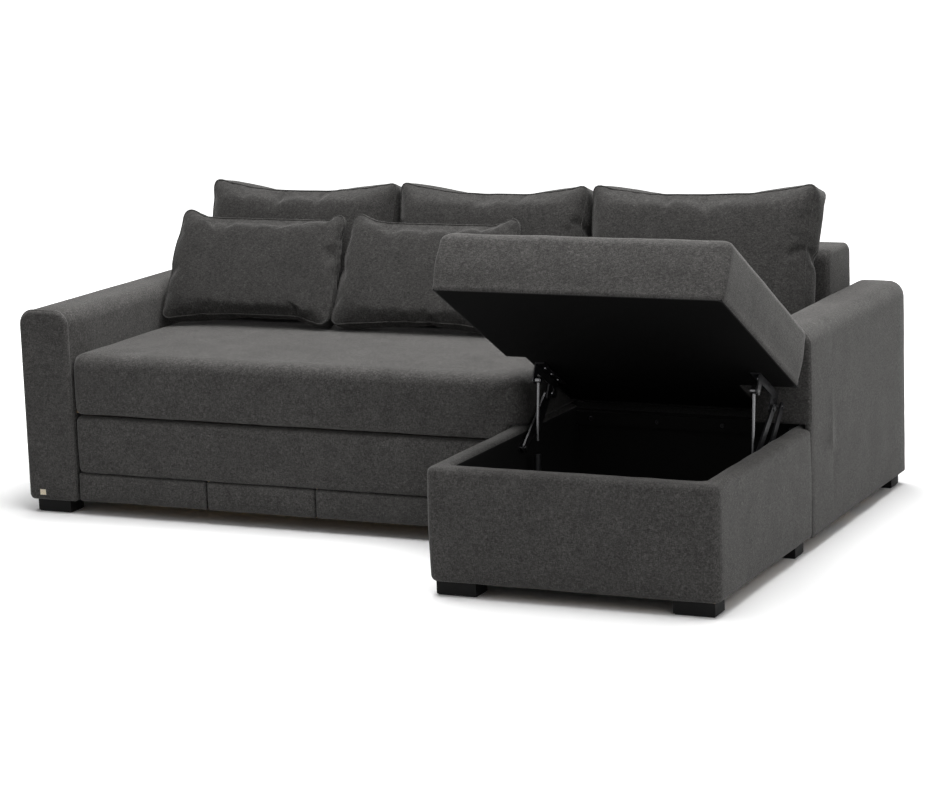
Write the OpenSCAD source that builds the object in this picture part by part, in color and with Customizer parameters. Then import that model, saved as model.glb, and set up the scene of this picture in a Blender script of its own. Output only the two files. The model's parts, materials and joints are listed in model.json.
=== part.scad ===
// Corner sofa bed with a chaise whose mattress lifts off a storage box, and a bed that rolls out in front.
// Millimetres. X runs along the back, Y from the front to the back, Z up.
// The origin is under the middle of the whole outline, on the floor.
// The shapes are written from the left arm's front corner, and place() moves them to the origin.

/* [Overall] */
// Width over both arms
sofa_w = 2400; // [2350:10:2550]
// Depth from the left arm's front to the back
main_d = 1100; // [1090:5:1180]
// Reach of the chaise in front of the left arm
chaise_reach = 535; // [500:5:570]
// Width of the chaise
chaise_w = 815; // [790:5:850]
// Height of the feet
foot_h = 38; // [30:1:48]

/* [Arms and back] */
// Width of an arm
arm_w = 165; // [150:1:180]
// Height of an arm above the floor
arm_h = 615; // [590:5:650]
// Radius along the top edges of the arms and the back
edge_r = 28; // [15:1:35]
// Padding with its fabric, on arms, back and box walls
pad_t = 18; // [14:1:22]
// How far the right arm's front stands behind the left arm's front
right_arm_back = 203; // [203:1:225]
// Height of the backrest above the floor
back_h = 730; // [700:5:760]
// Depth of the backrest
back_d = 215; // [200:1:220]
// Timber boards of the carcasses
board_t = 22; // [18:1:25]

/* [Seat] */
// Height of the seat's edges above the floor
seat_top = 487; // [475:1:500]
// How much the middle of a seat stands above its edges
seat_crown = 8; // [4:1:12]
// Radius of the seats' top edges
seat_edge_r = 34; // [20:1:45]
// Height of the dark joint under the seat
seat_joint_z = 303; // [300:1:306]
// Height of the seat frame's rails
seat_rail_h = 33; // [30:1:34]
// Width of the seat frame's rails
seat_rail_w = 30; // [25:1:35]
// Thickness of a slat
slat_t = 8; // [7:1:9]
// Width of a slat
slat_w = 54; // [45:1:60]
// Number of slats
slat_n = 12; // [10:1:14]
// Running gap round everything that slides
slide_gap = 3; // [2:0.5:4]

/* [Pull-out bed] */
// Length of the rubber buffers behind the pull-out
buffer_l = 54; // [48:1:70]
// Height of the joint between the mattress and the front strip
strip_top = 130; // [125:1:135]
// Thickness of the front strip
strip_t = 25; // [20:1:30]
// Depth of the grooves between the strip's padded sections
strip_groove = 5; // [3:1:8]
// Thickness of the deck under the mattress
deck_t = 12; // [10:1:15]
// Height of the boards under the deck
pull_board_h = 56; // [50:1:58]
// Width taken by a pair of runners on each side
runner_w = 25; // [22:1:28]
// Height of a runner
runner_h = 30; // [26:1:34]
// Sheet steel of the runners, brackets and angles
steel_t = 2; // [1.5:0.5:2.5]
// Radius of a wheel
wheel_r = 24; // [20:1:25]
// Width of a wheel
wheel_w = 22; // [16:1:26]
// Radius of a wheel's axle
axle_r = 5; // [4:0.5:6]
// Distance of the wheels behind the front strip
wheel_back = 210; // [190:5:240]

/* [Storage box] */
// Height of the box's upholstered rim
rim_z = 348; // [344:1:352]
// Depth of the box behind the left arm's front, to the inside of its rear wall
box_back = 374; // [372:1:380]
// Thickness of the floor
floor_t = 12; // [9:1:15]
// Depth of the fabric turned over the rim, inside the box
rim_turn = 95; // [80:1:100]
// Height of the rear rail
rail_h = 38; // [30:1:45]
// Thickness of the rear rail
rail_t = 20; // [15:1:22]

/* [Lid] */
// Tilt of the lid when it is open
lid_tilt = 29.5; // [27:0.5:29.5]
// Thickness of the lid at its edges, board and mattress together
lid_t = 168; // [160:1:174]
// Thickness of the lid's board
lid_board_t = 16; // [12:1:20]
// How much the middle of the lid stands above its edges
lid_crown = 8; // [4:1:10]
// Radius of the lid's top edges
lid_edge_r = 36; // [30:1:45]
// Gap round the lid
lid_gap = 6; // [5:1:8]
// Length of the lid's right end, in front of the right arm
lid_ear = 674; // [660:1:674]
// Length of the lid's middle
lid_len = 880; // [860:1:880]

/* [Lift] */
// Height above the rim of the point that the lid as a whole turns about
turn_up = 77; // [75:1:79]
// Distance of that point behind the left arm's front
turn_back = 365; // [363:1:367]
// Place of the front link's pin on the closed lid
front_lug_y = 147; // [144:1:150]
// Depth of the front link's pin under the lid
front_lug_drop = 58.5; // [56:0.5:61]
// Length from the front link's base pin to the middle of its path
front_reach = 180; // [175:1:185]
// Place of the rear link's pin on the closed lid
rear_lug_y = 186; // [184:1:188]
// Depth of the rear link's pin under the lid
rear_lug_drop = 38; // [36:0.5:40]
// Length from the rear link's base pin to the middle of its path
rear_reach = 107; // [104:1:110]
// Place of the gas strut's pin on the closed lid
strut_lug_y = 34; // [30:1:38]
// Depth of the gas strut's pin under the lid
strut_lug_drop = 47; // [45:0.5:49]
// Place of the gas strut's foot along the box, in front of the left arm's front
strut_foot_y = 24; // [20:1:28]
// Height of the gas strut's foot above the floor
strut_foot_z = 84; // [82:1:90]
// Radius of the lift's pins
pin_r = 4; // [3.5:0.5:4.5]
// Thickness of the links
link_t = 5; // [4:0.5:6]
// Half the width of the links and lugs
link_r = 12; // [11:0.5:13]
// Thickness of the lift's plates and bars
plate_t = 4; // [3:0.5:5]
// Radius of the gas cylinder
cylinder_r = 10; // [9:0.5:11]
// Radius of the gas rod
rod_r = 4; // [3:0.5:5]

/* [Cushions] */
// Height of a large back cushion
back_cushion_h = 420; // [400:5:440]
// Thickness of a large back cushion at its edges
back_cushion_t = 128; // [110:1:135]
// How much the front of a large back cushion swells
back_cushion_crown = 34; // [25:1:38]
// How much its back swells, where it is pressed against the backrest
back_cushion_flat = 8; // [4:1:14]
// Lean of the large back cushions
back_lean = 18; // [16:0.5:19]
// Width of a small cushion
small_w = 590; // [570:5:600]
// Height of a small cushion
small_h = 362; // [350:1:372]
// Thickness of a small cushion in its middle
small_t = 104; // [95:1:108]
// Lean of the small cushions
small_lean = 24; // [22:0.5:25]

/* [Hidden] */
fabric_colour = "#47484a";
black_colour = "#141415";
timber_colour = "#b9925f";
steel_colour = "#3b3d40";
zinc_colour = "#c4c6c8";
foot_colour = "#1d1a19";
tag_colour = "#d9cfae";

// Depth by which a cut runs past the face it opens
over = 1;
// Gap between a soft piece and what it lies on
soft_gap = 0.3;
// Gap of a pin in its hole
pin_gap = 0.05;

// Left face of the chaise, and the inside faces of its box
chaise_x = sofa_w - chaise_w;
wall_t = board_t + 2 * pad_t;
in_x0 = chaise_x + wall_t;
in_x1 = sofa_w - wall_t;
in_y0 = wall_t - chaise_reach;
base_z = foot_h;
back_y = main_d - back_d;
arm_in_x = sofa_w - arm_w;

// Seat mattress, its frame and the fixed seat behind the lid
seat_x0 = arm_w + slide_gap;
seat_x1 = in_x0 - soft_gap;
seat_y0 = slide_gap;
seat_y1 = back_y - 2 * slide_gap;
seat_under = rim_z + soft_gap;
frame_x1 = chaise_x - slide_gap;
frame_z0 = seat_joint_z + slide_gap;
slat_z = frame_z0 + seat_rail_h;
apron_d = seat_rail_w;
fixed_x0 = seat_x1 + slide_gap;
fixed_x1 = arm_in_x - slide_gap;

// Pull-out bed
pull_x0 = arm_w + 2 * slide_gap;
pull_x1 = chaise_x - 2 * slide_gap;
pull_y0 = slide_gap;
deck_z = strip_top - slide_gap - deck_t;
pull_board_z = deck_z - pull_board_h;
runner_z = pull_board_z + (pull_board_h - runner_h) / 2;
rear_board_y = back_y - board_t - 4 * board_t;
pull_y1 = rear_board_y - buffer_l;
pull_frame_x0 = arm_w + runner_w;
pull_frame_x1 = chaise_x - runner_w;
wheel_share = 0.19;
wheel_places = [pull_frame_x0 + wheel_share * (pull_frame_x1 - pull_frame_x0),
    pull_frame_x1 - wheel_share * (pull_frame_x1 - pull_frame_x0)];
wheel_y = pull_y0 + strip_t + wheel_back;
// The strip's seams, as shares of its length
seam_shares = [0.312, 0.567];

// Box
floor_z = base_z + floor_t;
board_top = rim_z - pad_t;
lining_top = rim_z - rim_turn;
pocket_z = rim_z + lid_gap;

// Lid, drawn closed and then opened
lid_z = rim_z + 2 * soft_gap;
lid_y0 = -chaise_reach;
lid_x0 = chaise_x + lid_gap;
lid_x1 = sofa_w - lid_gap;
lid_notch_x = seat_x1 + lid_gap;
lid_notch_y = seat_y0 - 2.5 * lid_gap;
lid_arm_x = arm_in_x - lid_gap - slide_gap;
turn = [turn_back, rim_z + turn_up];

// The lift's pins as [y, z]: on the closed lid, on the open lid and on the box
function turned(p, a) = [p[0] * cos(a) - p[1] * sin(a), p[0] * sin(a) + p[1] * cos(a)];
function opened(p) = turn + turned(p - turn, -lid_tilt);
function base_pin(p, reach) = let (m = (p + opened(p)) / 2, u = (m - turn) / norm(m - turn)) m + reach * u;
function angle_of(v) = atan2(v[1], v[0]);
front_lug = [front_lug_y, lid_z - front_lug_drop];
rear_lug = [rear_lug_y, lid_z - rear_lug_drop];
strut_lug = [strut_lug_y, lid_z - strut_lug_drop];
front_base = base_pin(front_lug, front_reach);
rear_base = base_pin(rear_lug, rear_reach);
strut_foot = [-strut_foot_y, strut_foot_z];
front_turn = angle_of(front_lug - front_base) - angle_of(opened(front_lug) - front_base);
rear_turn = angle_of(rear_lug - rear_base) - angle_of(opened(rear_lug) - rear_base);
strut_turn = angle_of(strut_lug - strut_foot) - angle_of(opened(strut_lug) - strut_foot);
strut_open = norm(opened(strut_lug) - strut_foot);
strut_closed = norm(strut_lug - strut_foot);

// Layers of the lift, counted from the box's inside face: plate, rear link, pin heads, front link, pin heads, bar
layer_gap = plate_t / 8;
pin_head_t = 0.75 * plate_t;
pin_head_r = 1.75 * pin_r;
rear_link_in = plate_t + layer_gap;
front_link_in = rear_link_in + link_t + pin_head_t + 2 * layer_gap;
bar_in = front_link_in + link_t + pin_head_t + 2 * layer_gap;
strut_in = bar_in + plate_t + cylinder_r + soft_gap;
eye_t = 1.2 * cylinder_r;
bar_h = 2 * link_r;
// Room round the strut's lower pin, which the lid's path needs
foot_play = 1.4 * pin_r;
foot_plate_in = strut_in - cylinder_r - plate_t - 2 * soft_gap;

// Feet and their places
foot_w = 3 * foot_h;
foot_d = 1.85 * foot_h;
glide_t = foot_h / 12;
foot_in = foot_h / 2;

// Moves the sofa's corner coordinates to the origin
module place() {
    translate([-sofa_w / 2, -(main_d - chaise_reach) / 2, 0]) children();
}

// A block between two opposite corners
module block(lo, hi) {
    translate(lo) cube(hi - lo);
}

// A box whose two long top edges are rounded, along Y
module round_top_y(lo, hi, r) {
    s = hi - lo;
    translate([lo[0], hi[1], lo[2]]) rotate([90, 0, 0]) linear_extrude(s[1]) round_top(s[0], s[2], r);
}

// The same, along X
module round_top_x(lo, hi, r) {
    s = hi - lo;
    translate(lo) rotate([90, 0, 90]) linear_extrude(s[0]) round_top(s[1], s[2], r);
}

module round_top(w, h, r) {
    square([w, h - r]);
    translate([r, 0]) square([w - 2 * r, h]);
    for (x = [r, w - r]) translate([x, h - r]) circle(r, $fn = 48);
}

// Soft forms: a rounded outline drawn in between its corners, set at rising levels
arc_n = 4;
edge_n = 4;
function unit(v) = v / norm(v);
// A corner is [x, y, radius]; corners run anticlockwise, so the inside lies to the left
function inward(a, b) = let (d = unit([b[0] - a[0], b[1] - a[1]])) [-d[1], d[0]];
function inset(c, e) = [for (i = [0:len(c) - 1])
    let (n = len(c), a = c[(i + n - 1) % n], p = c[i], b = c[(i + 1) % n], n1 = inward(a, p), n2 = inward(p, b),
        out = n1[0] * n2[1] - n1[1] * n2[0] > 0, k = e / (1 + n1 * n2))
    [p[0] + k * (n1[0] + n2[0]), p[1] + k * (n1[1] + n2[1]), max(p[2] - (out ? e : -e), p[2] / 5)]];
function outline(c, pull) = [for (i = [0:len(c) - 1])
    let (n = len(c), a = c[(i + n - 1) % n], p = c[i], b = c[(i + 1) % n],
        ua = unit([a[0] - p[0], a[1] - p[1]]), ub = unit([b[0] - p[0], b[1] - p[1]]), r = p[2],
        from = [p[0], p[1]] + r * ub, to = [b[0], b[1]] - b[2] * ub, into = inward(p, b),
        long = min(1, norm(to - from) / (20 * max(pull, soft_gap))))
    each concat(
        [for (j = [0:arc_n - 1]) let (f = 90 * j / (arc_n - 1))
            [p[0], p[1]] + r * (1 - sin(f)) * ua + r * (1 - cos(f)) * ub],
        [for (j = [1:edge_n]) let (t = j / (edge_n + 1))
            from + t * (to - from) + 4 * t * (1 - t) * pull * long * into])];

// levels is a list of [inset, height]
module soft_form(corners, levels, pull) {
    rings = [for (l = levels) [for (q = outline(inset(corners, l[0]), pull)) [q[0], q[1], l[1]]]];
    n = len(rings[0]);
    m = len(rings);
    polyhedron(points = [for (r = rings) each r], convexity = 6, faces = concat(
        [[for (i = [0:n - 1]) i]],
        [for (k = [0:m - 2], i = [0:n - 1]) let (j = (i + 1) % n)
            [k * n + i, k * n + n + i, k * n + n + j, k * n + j]],
        [[for (i = [0:n - 1]) m * n - 1 - i]]));
}

function rectangle(lo, hi, r) = [[lo[0], lo[1], r], [hi[0], lo[1], r], [hi[0], hi[1], r], [lo[0], hi[1], r]];

// Heights and insets of a mattress that lies flat: square below, rounded and crowned above
function mattress_levels(z0, z1, r, crown) = [[r / 8, z0], [0, (z0 + z1) / 2], [r / 12, z1 - r], [0.2 * r, z1 - 0.5 * r],
    [0.45 * r, z1 - 0.16 * r], [r, z1], [2.6 * r, z1 + 0.6 * crown], [5 * r, z1 + crown]];

// The same for a cushion that swells by back on one face and by crown on the other, about its middle plane
function cushion_levels(t, crown, back, r) = let (h = t / 2)
    [[6 * r, -h - back], [3.6 * r, -h - 0.75 * back], [1.8 * r, -h - 0.35 * back], [0.7 * r, -h], [0, -0.6 * h],
    [0, 0.6 * h], [0.7 * r, h], [1.8 * r, h + 0.35 * crown], [3.6 * r, h + 0.75 * crown], [6 * r, h + crown]];

// A cushion of width w and height h standing on its lower edge, its middle plane through the origin
module standing(w, h, levels, pull, r) {
    rotate([90, 0, 0]) soft_form(rectangle([-w / 2, 0], [w / 2, h], r), levels, pull);
}

// Arms

module left_arm_cover() {
    color(fabric_colour) place() difference() {
        round_top_y([0, 0, base_z], [arm_w, main_d, arm_h], edge_r);
        round_top_y([pad_t, pad_t, base_z - over], [arm_w - pad_t, main_d - pad_t, arm_h - pad_t], edge_r - pad_t / 2);
    }
}

// Boards of an arm's carcass between two corners: base, ends, middle post and top
module arm_boards(lo, hi) {
    mid = (lo[1] + hi[1]) / 2;
    block(lo, [hi[0], hi[1], lo[2] + board_t]);
    block([lo[0], lo[1], lo[2] + board_t], [hi[0], lo[1] + board_t, hi[2] - edge_r]);
    block([lo[0], hi[1] - board_t, lo[2] + board_t], [hi[0], hi[1], hi[2] - edge_r]);
    block([lo[0], mid - board_t, lo[2] + board_t], [hi[0], mid, hi[2] - edge_r]);
    block([lo[0] + edge_r, lo[1], hi[2] - edge_r], [hi[0] - edge_r, hi[1], hi[2]]);
}

module left_arm_frame() {
    color(timber_colour) place()
        arm_boards([pad_t, pad_t, base_z], [arm_w - pad_t, main_d - pad_t, arm_h - pad_t]);
}

// The right arm stands over the storage box, so its lower front is left open for it
module right_arm_cover() {
    box_end = box_back + board_t;
    color(fabric_colour) place() difference() {
        round_top_y([arm_in_x, right_arm_back, base_z], [sofa_w, main_d, arm_h], edge_r);
        difference() {
            round_top_y([arm_in_x + pad_t, right_arm_back + pad_t, base_z - over],
                [sofa_w - pad_t, main_d - pad_t, arm_h - pad_t], edge_r - pad_t / 2);
            block([arm_in_x, right_arm_back, base_z - over], [sofa_w - pad_t, box_end + pad_t, pocket_z + pad_t]);
        }
        block([arm_in_x - over, right_arm_back - over, base_z - over], [sofa_w - pad_t, box_end, pocket_z]);
    }
}

module right_arm_frame() {
    box_end = box_back + board_t + pad_t;
    color(timber_colour) place() {
        arm_boards([arm_in_x + pad_t, box_end, base_z], [sofa_w - pad_t, main_d - pad_t, arm_h - pad_t]);
        block([arm_in_x + pad_t, right_arm_back + pad_t, pocket_z + pad_t],
            [sofa_w - pad_t, right_arm_back + pad_t + board_t, arm_h - pad_t - edge_r]);
        block([arm_in_x + pad_t, right_arm_back + pad_t + board_t, pocket_z + pad_t],
            [sofa_w - pad_t, box_end, pocket_z + pad_t + board_t]);
    }
}

// Backrest

module back_cover() {
    color(fabric_colour) place() difference() {
        round_top_x([arm_w, back_y, base_z], [arm_in_x, main_d, back_h], edge_r);
        round_top_x([arm_w + pad_t, back_y + pad_t, base_z - over],
            [arm_in_x - pad_t, main_d - pad_t, back_h - pad_t], edge_r - pad_t / 2);
    }
}

module back_frame() {
    x0 = arm_w + pad_t;
    x1 = arm_in_x - pad_t;
    y0 = back_y + pad_t;
    y1 = main_d - pad_t;
    top = back_h - pad_t - edge_r;
    color(timber_colour) place() {
        block([x0, y0, base_z], [x1, y1, base_z + board_t]);
        for (i = [0:4]) {
            x = x0 + i * (x1 - x0 - board_t) / 4;
            block([x, y0, base_z + board_t], [x + board_t, y1, top]);
        }
        block([x0, y0 + edge_r, top], [x1, y1 - edge_r, top + board_t]);
    }
}

// Seat

module rear_board() {
    color(timber_colour) place()
        block([arm_w, rear_board_y, base_z], [chaise_x + pad_t, rear_board_y + board_t, frame_z0]);
}

// Front, rear, side and middle rails, each a separate piece
module seat_frame() {
    y0 = seat_y0 + apron_d;
    y1 = rear_board_y + board_t;
    mid = (arm_w + frame_x1) / 2;
    z1 = frame_z0 + seat_rail_h;
    w = seat_rail_w;
    color(timber_colour) place() {
        block([arm_w, y0, frame_z0], [chaise_x, y0 + w, z1]);
        block([arm_w, y1 - w, frame_z0], [chaise_x, y1, z1]);
        for (x = [arm_w, mid - w / 2, chaise_x - w])
            block([x, y0 + w, frame_z0], [x + w, y1 - w, z1]);
    }
}

module seat_slats() {
    x0 = arm_w + 2 * seat_rail_w;
    step = (chaise_x - 2 * seat_rail_w - slat_w - x0) / (slat_n - 1);
    color("#d8c7a2") place() for (i = [0:slat_n - 1])
        translate([x0 + i * step, seat_y0 + apron_d, slat_z])
            cube([slat_w, rear_board_y + board_t - seat_y0 - apron_d, slat_t]);
}

// One thick mattress that hides its frame behind its own front edge, and rests on the box's left wall
module seat_mattress() {
    low = frame_z0;
    color(fabric_colour) place() union() {
        soft_form(rectangle([seat_x0, seat_y0], [seat_x1, seat_y1], seat_edge_r),
            mattress_levels(seat_under, seat_top, seat_edge_r, seat_crown), slide_gap / 2);
        translate([seat_x0 + seat_edge_r, seat_y0 + slide_gap / 2, low])
            cube([frame_x1 - seat_x0 - seat_edge_r, apron_d - slide_gap, seat_under + slat_t - low]);
    }
}

// Pull-out bed

// A C-shaped channel along Y whose open side faces +X
module channel(x, y0, y1, z0, w, h) {
    difference() {
        block([x, y0, z0], [x + w, y1, z0 + h]);
        block([x + steel_t, y0 - over, z0 + steel_t], [x + w + over, y1 + over, z0 + h - steel_t]);
    }
}

module mirrored_runner() {
    children();
    translate([arm_w + chaise_x, 0, 0]) mirror([1, 0, 0]) children();
}

module fixed_runners() {
    color(zinc_colour) place() mirrored_runner()
        channel(arm_w, pull_y0 + 2 * strip_t, rear_board_y, runner_z, runner_w / 2, runner_h);
}

module moving_runners() {
    gap = soft_gap;
    color(zinc_colour) place() mirrored_runner()
        block([arm_w + steel_t + gap, pull_y0 + 2 * strip_t, runner_z + steel_t + gap],
            [pull_frame_x0, pull_y1, runner_z + runner_h - steel_t - gap]);
}

module runner_buffers() {
    color(black_colour) place() for (x = [pull_frame_x0 + board_t, pull_frame_x1 - board_t])
        translate([x, pull_y1 + soft_gap, pull_board_z + pull_board_h / 2]) rotate([-90, 0, 0])
            cylinder(r = board_t / 2, h = rear_board_y - pull_y1 - soft_gap, $fn = 32);
}

module pullout_frame() {
    y0 = pull_y0 + strip_t;
    mid = (pull_frame_x0 + pull_frame_x1) / 2;
    z1 = pull_board_z + pull_board_h;
    color(timber_colour) place() {
        for (x = [pull_frame_x0, mid - board_t / 2, pull_frame_x1 - board_t])
            block([x, y0 + board_t, pull_board_z], [x + board_t, pull_y1 - board_t, z1]);
        for (y = [y0, pull_y1 - board_t])
            block([pull_frame_x0, y, pull_board_z], [pull_frame_x1, y + board_t, z1]);
        for (x = [[pull_frame_x0 + board_t, mid - board_t / 2], [mid + board_t / 2, pull_frame_x1 - board_t]])
            block([x[0], wheel_y - 1.5 * board_t, pull_board_z], [x[1], wheel_y + 1.5 * board_t, pull_board_z + board_t]);
    }
}

module pullout_deck() {
    color("#c9a876") place()
        block([pull_frame_x0, pull_y0 + strip_t, deck_z], [pull_frame_x1, pull_y1, deck_z + deck_t]);
}

// The padded strip under the mattress, in three sections parted by grooves
module pullout_front() {
    z0 = base_z + slide_gap;
    h = strip_top - slide_gap - z0;
    color(fabric_colour) place() difference() {
        block([pull_x0, pull_y0, z0], [pull_x1, pull_y0 + strip_t, z0 + h]);
        for (s = seam_shares) translate([pull_x0 + s * (pull_x1 - pull_x0), pull_y0, z0 - over])
            cylinder(r = strip_groove, h = h + 2 * over, $fn = 24);
    }
}

module pullout_mattress() {
    z0 = strip_top - slide_gap + soft_gap;
    z1 = seat_joint_z - slide_gap;
    r = seat_edge_r / 2;
    color(fabric_colour) place()
        soft_form(rectangle([pull_x0, pull_y0], [pull_x1, pull_y1], r),
            [[r / 2, z0], [r / 8, z0 + r / 3], [0, (z0 + z1) / 2], [r / 8, z1 - r],
            [0.4 * r, z1 - 0.3 * r], [r, z1 - 0.05 * r], [3 * r, z1]], slide_gap / 2);
}

// A bracket with two cheeks, under the pull-out's cross board
module wheel_brackets() {
    cheek = wheel_w / 2 + slide_gap / 2;
    color(steel_colour) place() for (x = wheel_places) translate([x, wheel_y, 0]) {
        block([-cheek - steel_t, -wheel_r, pull_board_z - steel_t], [cheek + steel_t, wheel_r, pull_board_z]);
        for (side = [-1, 1]) difference() {
            translate([side * (cheek + steel_t / 2), 0, 0])
                block([-steel_t / 2, -2 * axle_r, wheel_r - 2 * axle_r], [steel_t / 2, 2 * axle_r, pull_board_z - steel_t]);
            translate([side * (cheek + steel_t / 2), 0, wheel_r]) rotate([0, 90, 0])
                cylinder(r = axle_r, h = 2 * steel_t, center = true, $fn = 32);
        }
    }
}

module wheel_axles() {
    long = wheel_w + slide_gap + 2 * steel_t;
    color(zinc_colour) place() for (x = wheel_places) translate([x, wheel_y, wheel_r]) rotate([0, 90, 0])
        cylinder(r = axle_r, h = long, center = true, $fn = 32);
}

module wheel(x) {
    color(black_colour) place() translate([x, wheel_y, wheel_r]) rotate([0, 90, 0]) difference() {
        cylinder(r = wheel_r, h = wheel_w, center = true, $fn = 64);
        cylinder(r = axle_r + pin_gap, h = wheel_w + 2 * over, center = true, $fn = 32);
        for (side = [-1, 1]) translate([0, 0, side * wheel_w / 2]) rotate_extrude($fn = 64)
            translate([(wheel_r + axle_r) / 2, 0]) circle(axle_r / 2, $fn = 16);
    }
}

module wheel_left() {
    wheel(wheel_places[0]);
}

module wheel_right() {
    wheel(wheel_places[1]);
}

// Storage box

module box_front_board() {
    color(timber_colour) place() block([chaise_x + pad_t, pad_t - chaise_reach, base_z],
        [sofa_w - pad_t, pad_t + board_t - chaise_reach, board_top]);
}

// It runs on behind the box and carries the fixed seat
module box_left_board() {
    color(timber_colour) place() block([chaise_x + pad_t, pad_t + board_t - chaise_reach, base_z],
        [chaise_x + pad_t + board_t, back_y, board_top]);
}

module box_right_board() {
    color(timber_colour) place() block([sofa_w - pad_t - board_t, pad_t + board_t - chaise_reach, base_z],
        [sofa_w - pad_t, box_back + board_t, board_top]);
}

module box_rear_board() {
    color(black_colour) place() block([chaise_x + pad_t + board_t, box_back, base_z],
        [sofa_w - pad_t - board_t, box_back + board_t, board_top]);
}

module box_floor() {
    color(black_colour) place() block([chaise_x + pad_t + board_t, pad_t + board_t - chaise_reach, base_z],
        [sofa_w - pad_t - board_t, box_back, floor_z]);
}

// Black panels inside the front and side walls, below the turned-in fabric
module box_lining() {
    y0 = in_y0 - pad_t;
    color(black_colour) place() {
        block([in_x0 - pad_t, y0, floor_z], [in_x1 + pad_t, in_y0, lining_top]);
        block([in_x0 - pad_t, in_y0, floor_z], [in_x0, box_back, lining_top]);
        block([in_x1, in_y0, floor_z], [in_x1 + pad_t, box_back, lining_top]);
    }
}

// Section of a padded wall: outside face, rim and the part turned in. It starts at its outer face
module wall_section(lo_in) {
    round = pad_t / 2;
    difference() {
        union() {
            translate([0, base_z]) square([wall_t, rim_z - base_z - round]);
            translate([round, base_z]) square([wall_t - 2 * round, rim_z - base_z]);
            for (x = [round, wall_t - round]) translate([x, rim_z - round]) circle(round, $fn = 32);
        }
        translate([pad_t, base_z - over]) square([board_t, board_top - base_z + over]);
        translate([pad_t + board_t, base_z - over]) square([pad_t + over, lo_in - base_z + over]);
    }
}

// Its turned-in part is cut away where the side boards stand
module box_front_cover() {
    y0 = in_y0 - pad_t;
    color(fabric_colour) place() difference() {
        translate([chaise_x, -chaise_reach, 0])
            rotate([90, 0, 90]) linear_extrude(chaise_w) wall_section(lining_top);
        for (x = [chaise_x + pad_t, sofa_w - pad_t - board_t])
            block([x, y0, base_z - over], [x + board_t, in_y0 + over, board_top]);
    }
}

// Side walls start behind the front wall's section
module side_cover(y1) {
    rotate([90, 0, 0]) translate([0, 0, -y1]) linear_extrude(y1 + chaise_reach - wall_t) wall_section(lining_top);
}

module box_left_cover() {
    color(fabric_colour) place() translate([chaise_x, 0, 0]) side_cover(box_back);
}

// On the right the padding outside stops at the arm, and the rim runs on under it
module box_right_cover() {
    color(fabric_colour) place() difference() {
        translate([sofa_w, 0, 0]) mirror([1, 0, 0]) side_cover(box_back);
        block([sofa_w - pad_t, right_arm_back, base_z - over], [sofa_w + over, box_back + over, rim_z + over]);
    }
}

module box_rear_rail() {
    z1 = board_top - pad_t / 4;
    color(black_colour) place()
        block([in_x0, box_back - rail_t, z1 - rail_h], [in_x1, box_back, z1]);
}

// Fixed seat behind the lid

module rear_seat_frame() {
    color(black_colour) place() {
        block([chaise_x + pad_t, box_back + lid_gap, board_top], [fixed_x1, back_y, rim_z]);
        block([chaise_x + pad_t + board_t, back_y - board_t, board_top - 2 * board_t], [arm_in_x, back_y, board_top]);
    }
}

module rear_seat_cushion() {
    color(fabric_colour) place()
        soft_form(rectangle([fixed_x0, box_back + lid_gap / 2], [fixed_x1, seat_y1], seat_edge_r),
            mattress_levels(rim_z + soft_gap, seat_top, seat_edge_r, seat_crown), slide_gap / 2);
}

// Steel angles that join the chaise to the sofa behind the pull-out
module module_angles() {
    y = rear_board_y + board_t;
    leg = 2 * board_t;
    h = 3 * board_t;
    room = frame_z0 - base_z;
    color(steel_colour) place() for (share = [0.25, 0.7]) translate([0, 0, base_z + share * room]) {
        block([chaise_x + pad_t - leg, y, 0], [chaise_x + pad_t, y + steel_t, h]);
        block([chaise_x + pad_t - steel_t, y + steel_t, 0], [chaise_x + pad_t, y + leg, h]);
    }
}

// Feet, each as its left front corner
foot_places = [[foot_in, foot_in], [foot_in, main_d - foot_in - foot_d],
    [chaise_x + foot_in, foot_in - chaise_reach], [sofa_w - foot_in - foot_w, foot_in - chaise_reach],
    [sofa_w - foot_in - foot_w, right_arm_back - foot_in - foot_d], [chaise_x + foot_in, right_arm_back - foot_in - foot_d],
    [sofa_w - foot_in - foot_w, main_d - foot_in - foot_d], [chaise_x - foot_w / 2, main_d - foot_in - foot_d]];

module feet() {
    color(foot_colour) place() for (p = foot_places)
        translate([p[0], p[1], glide_t]) cube([foot_w, foot_d, foot_h - glide_t]);
}

module foot_glides() {
    color(black_colour) place() for (p = foot_places)
        translate([p[0] + glide_t, p[1] + glide_t, 0]) cube([foot_w - 2 * glide_t, foot_d - 2 * glide_t, glide_t]);
}

// Lift. Everything is drawn on the left and mirrored across the box

module on_left() {
    place() translate([in_x0, 0, 0]) children();
}

module on_right() {
    place() translate([in_x1, 0, 0]) mirror([1, 0, 0]) children();
}

// A disc round a pin, p = [y, z], from x to x + t
module disc(p, x, t, r) {
    translate([x, p[0], p[1]]) rotate([0, 90, 0]) cylinder(r = r, h = t, $fn = 32);
}

// A plate in the Y-Z plane, drawn as a 2D shape, from x to x + t
module plate_yz(x, t) {
    translate([x, 0, 0]) rotate([90, 0, 90]) linear_extrude(t) children();
}

// A flat bar with round ends between two pins
module strap(p, q, r) {
    for (c = [p, q]) translate(c) circle(r, $fn = 48);
    translate(p) rotate(angle_of(q - p)) translate([0, -r]) square([norm(q - p), 2 * r]);
}

module lift_plate() {
    difference() {
        plate_yz(0, plate_t) strap(front_base, rear_base, link_r);
        for (p = [front_base, rear_base]) disc(p, -over, plate_t + 2 * over, pin_r);
    }
}

module lift_plates() {
    color(steel_colour) {
        on_left() lift_plate();
        on_right() lift_plate();
    }
}

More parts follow.
